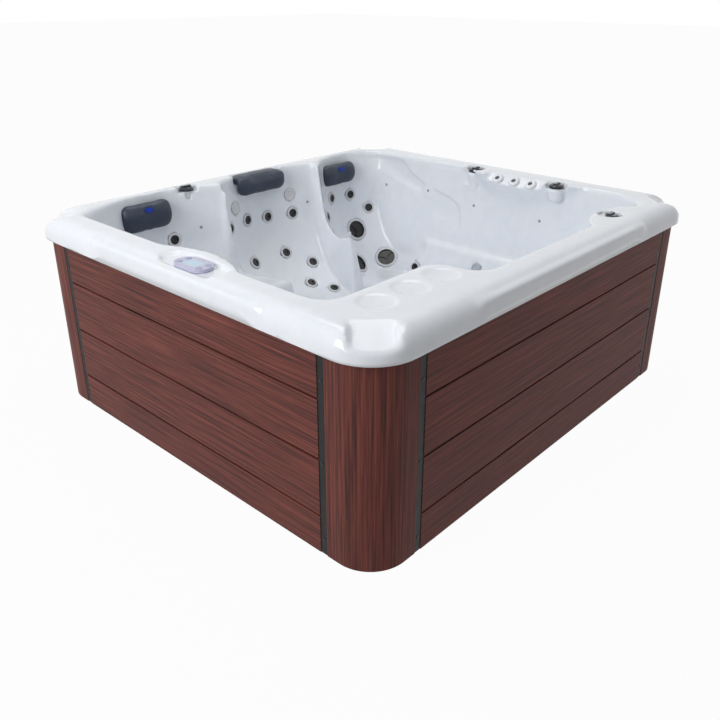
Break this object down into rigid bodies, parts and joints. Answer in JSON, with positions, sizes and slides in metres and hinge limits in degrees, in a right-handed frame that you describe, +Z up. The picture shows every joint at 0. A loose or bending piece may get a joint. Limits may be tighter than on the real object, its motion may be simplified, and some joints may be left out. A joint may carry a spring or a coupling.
{
  "type": "hot tub",
  "caption": "Free-standing hot tub: a moulded white shell with bucket seats, jets, pillows and valves, in a wood-grain cabinet with rounded corner posts.",
  "frame": {"origin": "centre of the base, on the surface that the tub stands on", "axes": "+Z up, X along the long side, front face at -Y"},
  "size_m": [2.2, 2, 0.8518],
  "materials": {
    "acrylic": "gloss white moulded shell",
    "cladding": "red-brown wood grain, satin",
    "cladding_post": "red-brown wood grain, upright",
    "trim": "near black",
    "backing": "dark sheet",
    "screw": "small screw heads",
    "pan": "moulded pan",
    "timber": "sawn softwood",
    "pillow": "dark slate blue, soft",
    "badge": "plain blue oval",
    "bezel": "silver lilac overlay",
    "display": "pale blue window",
    "button": "soft keys",
    "diverter": "dark navy gloss",
    "valve": "white",
    "air_cap": "white cap",
    "jet_ring": "pale ring",
    "jet_face": "black",
    "injector": "grey",
    "lens": "clear lens",
    "suction": "white cover",
    "pump": "painted motor",
    "pack": "moulded case",
    "pipe": "white pipe",
    "filter": "moulded tank"
  },
  "bodies": {
    "tub": {"acrylic_shell": "acrylic", "base_pan": "pan", "timber_frame": "timber", "boards_front": "cladding", "boards_back": "cladding", "boards_left": "cladding", "boards_right": "cladding", "panel_backings": "backing", "corner_post_back_right": "cladding_post", "corner_post_back_left": "cladding_post", "corner_post_front_left": "cladding_post", "corner_post_front_right": "cladding_post", "corner_strips": "trim", "strip_screws": "screw", "pillow_left": "pillow", "pillow_corner": "pillow", "pillow_badges": "badge", "pillow_middle": "pillow", "control_bezel": "bezel", "control_display": "display", "diverter_bodies": "valve", "air_bodies": "valve", "small_jet_bodies": "jet_ring", "large_jet_bodies": "jet_ring", "air_injectors": "injector", "light_lens": "lens", "suction_covers": "suction", "jet_pumps": "pump", "plumbing": "pipe", "filter_canister": "filter", "control_pack": "pack"},
    "button_1": {"button_1": "button"},
    "button_2": {"button_2": "button"},
    "button_3": {"button_3": "button"},
    "button_4": {"button_4": "button"},
    "diverter_handle_1": {"diverter_handle_1": "diverter"},
    "diverter_handle_2": {"diverter_handle_2": "diverter"},
    "diverter_handle_3": {"diverter_handle_3": "diverter"},
    "diverter_handle_4": {"diverter_handle_4": "diverter"},
    "air_knob_1": {"air_knob_1": "air_cap"},
    "air_knob_2": {"air_knob_2": "air_cap"},
    "air_knob_3": {"air_knob_3": "air_cap"},
    "small_jet_face_01": {"small_jet_face_01": "jet_face"},
    "small_jet_face_02": {"small_jet_face_02": "jet_face"},
    "small_jet_face_03": {"small_jet_face_03": "jet_face"},
    "small_jet_face_04": {"small_jet_face_04": "jet_face"},
    "small_jet_face_05": {"small_jet_face_05": "jet_face"},
    "small_jet_face_06": {"small_jet_face_06": "jet_face"},
    "small_jet_face_07": {"small_jet_face_07": "jet_face"},
    "small_jet_face_08": {"small_jet_face_08": "jet_face"},
    "small_jet_face_09": {"small_jet_face_09": "jet_face"},
    "small_jet_face_10": {"small_jet_face_10": "jet_face"},
    "small_jet_face_11": {"small_jet_face_11": "jet_face"},
    "small_jet_face_12": {"small_jet_face_12": "jet_face"},
    "small_jet_face_13": {"small_jet_face_13": "jet_face"},
    "small_jet_face_14": {"small_jet_face_14": "jet_face"},
    "small_jet_face_15": {"small_jet_face_15": "jet_face"},
    "large_jet_face_1": {"large_jet_face_1": "jet_face"},
    "large_jet_face_2": {"large_jet_face_2": "jet_face"},
    "large_jet_face_3": {"large_jet_face_3": "jet_face"}
  },
  "joints": [
    {"name": "button_1_press", "type": "slide", "parent": "tub", "child": "button_1", "axis": [0, 0, -1], "range_m": [0, 0.001], "stiffness_N_per_m": 800},
    {"name": "button_2_press", "type": "slide", "parent": "tub", "child": "button_2", "axis": [0, 0, -1], "range_m": [0, 0.001], "stiffness_N_per_m": 800},
    {"name": "button_3_press", "type": "slide", "parent": "tub", "child": "button_3", "axis": [0, 0, -1], "range_m": [0, 0.001], "stiffness_N_per_m": 800},
    {"name": "button_4_press", "type": "slide", "parent": "tub", "child": "button_4", "axis": [0, 0, -1], "range_m": [0, 0.001], "stiffness_N_per_m": 800},
    {"name": "diverter_handle_1_turn", "type": "hinge", "parent": "tub", "child": "diverter_handle_1", "pos_m": [0.9548, 0.115, 0.823], "axis": [0, 0, 1], "range_deg": [-90, 90]},
    {"name": "diverter_handle_2_turn", "type": "hinge", "parent": "tub", "child": "diverter_handle_2", "pos_m": [0.9251, -0.39, 0.823], "axis": [0, 0, 1], "range_deg": [-90, 90]},
    {"name": "diverter_handle_3_turn", "type": "hinge", "parent": "tub", "child": "diverter_handle_3", "pos_m": [0.5951, -0.838, 0.823], "axis": [0, 0, 1], "range_deg": [-90, 90]},
    {"name": "diverter_handle_4_turn", "type": "hinge", "parent": "tub", "child": "diverter_handle_4", "pos_m": [-0.3553, 0.905, 0.823], "axis": [0, 0, 1], "range_deg": [-90, 90]},
    {"name": "air_knob_1_turn", "type": "hinge", "parent": "tub", "child": "air_knob_1", "pos_m": [0.903, -0.062, 0.82], "axis": [-0.5736, 0, 0.8192], "range_deg": [0, 120]},
    {"name": "air_knob_2_turn", "type": "hinge", "parent": "tub", "child": "air_knob_2", "pos_m": [0.903, -0.16, 0.82], "axis": [-0.5736, 0, 0.8192], "range_deg": [0, 120]},
    {"name": "air_knob_3_turn", "type": "hinge", "parent": "tub", "child": "air_knob_3", "pos_m": [0.903, -0.258, 0.82], "axis": [-0.5736, 0, 0.8192], "range_deg": [0, 120]},
    {"name": "small_jet_face_01_turn", "type": "hinge", "parent": "tub", "child": "small_jet_face_01", "pos_m": [-0.46486, 0.88036, 0.606], "axis": [-0.1352, -0.9823, 0.1297], "range_deg": [-45, 45]},
    {"name": "small_jet_face_02_turn", "type": "hinge", "parent": "tub", "child": "small_jet_face_02", "pos_m": [-0.15269, 0.84113, 0.6017], "axis": [0.3339, -0.9367, 0.1055], "range_deg": [-45, 45]},
    {"name": "small_jet_face_03_turn", "type": "hinge", "parent": "tub", "child": "small_jet_face_03", "pos_m": [-0.01094, 0.87831, 0.6109], "axis": [0.1573, -0.9838, 0.0856], "range_deg": [-45, 45]},
    {"name": "small_jet_face_04_turn", "type": "hinge", "parent": "tub", "child": "small_jet_face_04", "pos_m": [0.13396, 0.88669, 0.5971], "axis": [-0.0236, -0.993, 0.1155], "range_deg": [-45, 45]},
    {"name": "small_jet_face_05_turn", "type": "hinge", "parent": "tub", "child": "small_jet_face_05", "pos_m": [0.29618, 0.86499, 0.58882], "axis": [-0.2255, -0.965, 0.1335], "range_deg": [-45, 45]},
    {"name": "small_jet_face_06_turn", "type": "hinge", "parent": "tub", "child": "small_jet_face_06", "pos_m": [-0.03929, 0.79894, 0.3993], "axis": [0.1783, -0.8191, 0.5453], "range_deg": [-45, 45]},
    {"name": "small_jet_face_07_turn", "type": "hinge", "parent": "tub", "child": "small_jet_face_07", "pos_m": [0.18909, 0.81025, 0.397], "axis": [-0.0854, -0.8306, 0.5503], "range_deg": [-45, 45]},
    {"name": "small_jet_face_08_turn", "type": "hinge", "parent": "tub", "child": "small_jet_face_08", "pos_m": [0.31351, 0.73055, 0.3303], "axis": [-0.2127, -0.6866, 0.6952], "range_deg": [-45, 45]},
    {"name": "small_jet_face_09_turn", "type": "hinge", "parent": "tub", "child": "small_jet_face_09", "pos_m": [0.22373, 0.65016, 0.2521], "axis": [-0.0955, -0.4924, 0.8651], "range_deg": [-45, 45]},
    {"name": "small_jet_face_10_turn", "type": "hinge", "parent": "tub", "child": "small_jet_face_10", "pos_m": [0.30721, 0.55864, 0.22128], "axis": [-0.1375, -0.3353, 0.932], "range_deg": [-45, 45]},
    {"name": "small_jet_face_11_turn", "type": "hinge", "parent": "tub", "child": "small_jet_face_11", "pos_m": [0.6138, 0.87632, 0.61075], "axis": [0.249, -0.9615, 0.1165], "range_deg": [-45, 45]},
    {"name": "small_jet_face_12_turn", "type": "hinge", "parent": "tub", "child": "small_jet_face_12", "pos_m": [0.7724, 0.87857, 0.604], "axis": [-0.2115, -0.9691, 0.127], "range_deg": [-45, 45]},
    {"name": "small_jet_face_13_turn", "type": "hinge", "parent": "tub", "child": "small_jet_face_13", "pos_m": [0.8712, 0.81968, 0.51625], "axis": [-0.511, -0.818, 0.2641], "range_deg": [-45, 45]},
    {"name": "small_jet_face_14_turn", "type": "hinge", "parent": "tub", "child": "small_jet_face_14", "pos_m": [0.5293, 0.82398, 0.5275], "axis": [0.505, -0.8272, 0.2465], "range_deg": [-45, 45]},
    {"name": "small_jet_face_15_turn", "type": "hinge", "parent": "tub", "child": "small_jet_face_15", "pos_m": [0.84496, 0.424, 0.23515], "axis": [-0.9781, 0, 0.2079], "range_deg": [-45, 45]},
    {"name": "large_jet_face_1_turn", "type": "hinge", "parent": "tub", "child": "large_jet_face_1", "pos_m": [0.762, 0.81822, 0.4015], "axis": [-0.1996, -0.8739, 0.4433], "range_deg": [-60, 60]},
    {"name": "large_jet_face_2_turn", "type": "hinge", "parent": "tub", "child": "large_jet_face_2", "pos_m": [0.6606, 0.70844, 0.24175], "axis": [0.1674, -0.7014, 0.6929], "range_deg": [-60, 60]},
    {"name": "large_jet_face_3_turn", "type": "hinge", "parent": "tub", "child": "large_jet_face_3", "pos_m": [0.84, 0.64489, 0.24625], "axis": [-0.593, -0.4219, 0.6858], "range_deg": [-60, 60]}
  ]
}
